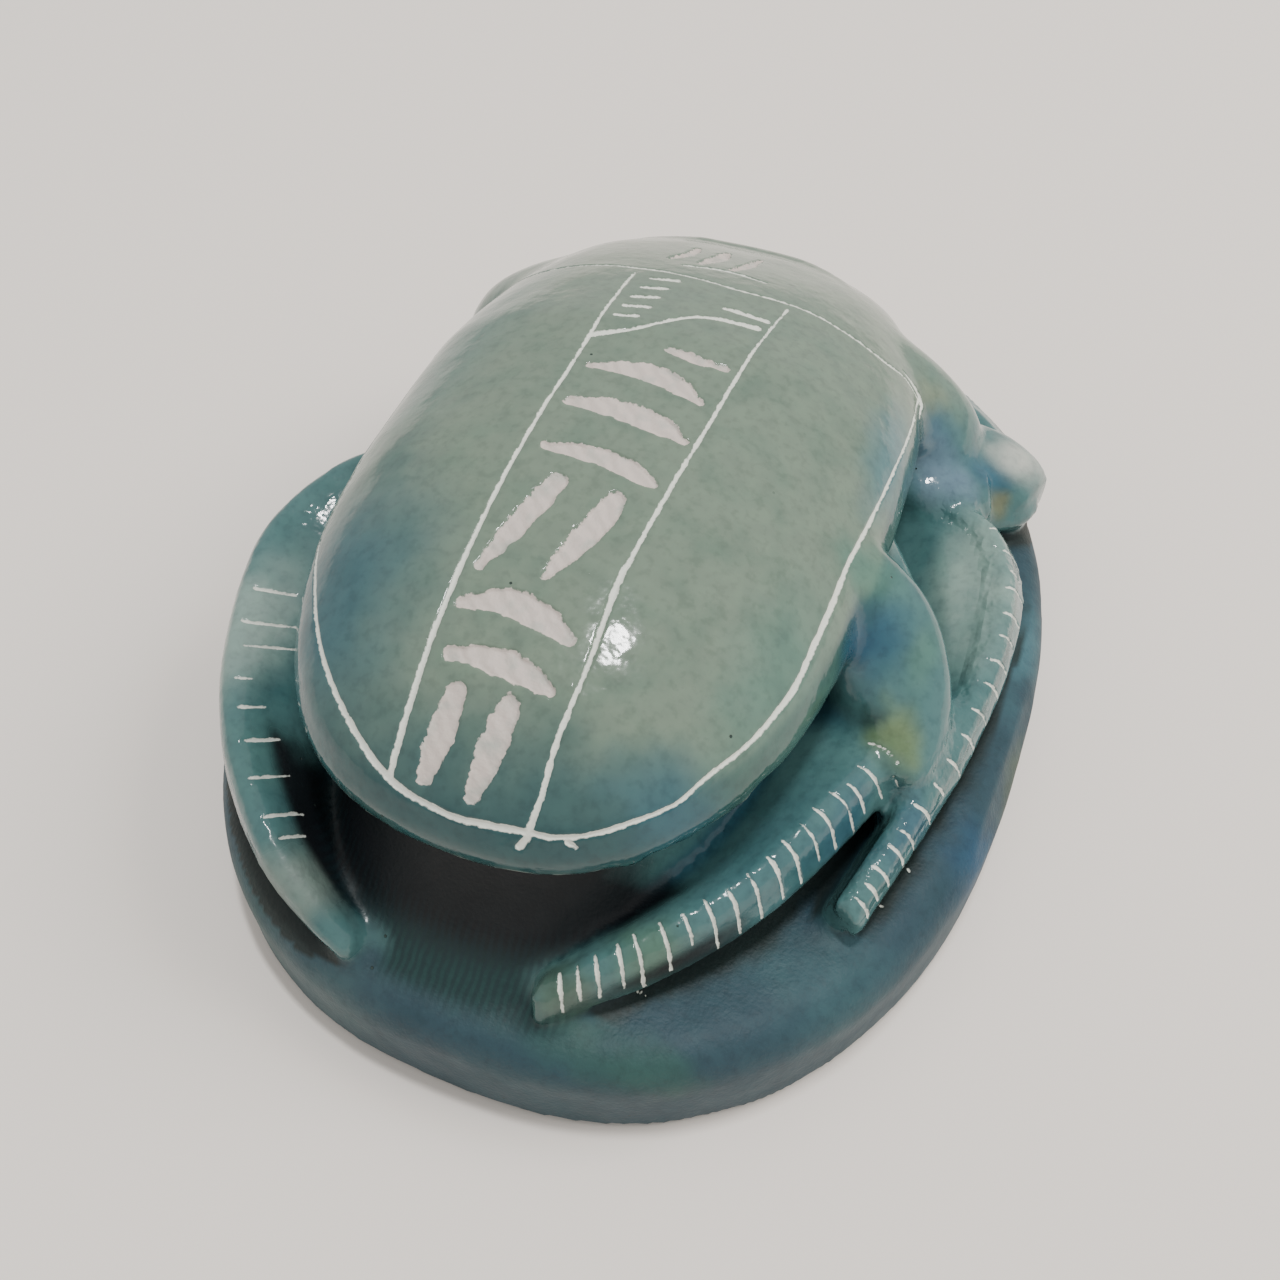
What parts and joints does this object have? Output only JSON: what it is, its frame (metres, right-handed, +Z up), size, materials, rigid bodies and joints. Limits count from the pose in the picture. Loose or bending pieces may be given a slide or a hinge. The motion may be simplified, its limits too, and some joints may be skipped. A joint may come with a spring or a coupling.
{
  "type": "scarab amulet",
  "caption": "Carved scarab beetle on an oval base plate, with a domed back under a cut border line, undercut rim, folded ridged legs and a flat underside.",
  "frame": {"origin": "middle of the flat underside of the base plate", "axes": "+Z up out of the back, +Y towards the beetle's head along the length, +X to the beetle's right"},
  "size_m": [0.0674, 0.0852, 0.0338],
  "materials": {
    "glazed_stone": null
  },
  "bodies": {
    "root": {"scarab": "glazed_stone"}
  },
  "joints": []
}
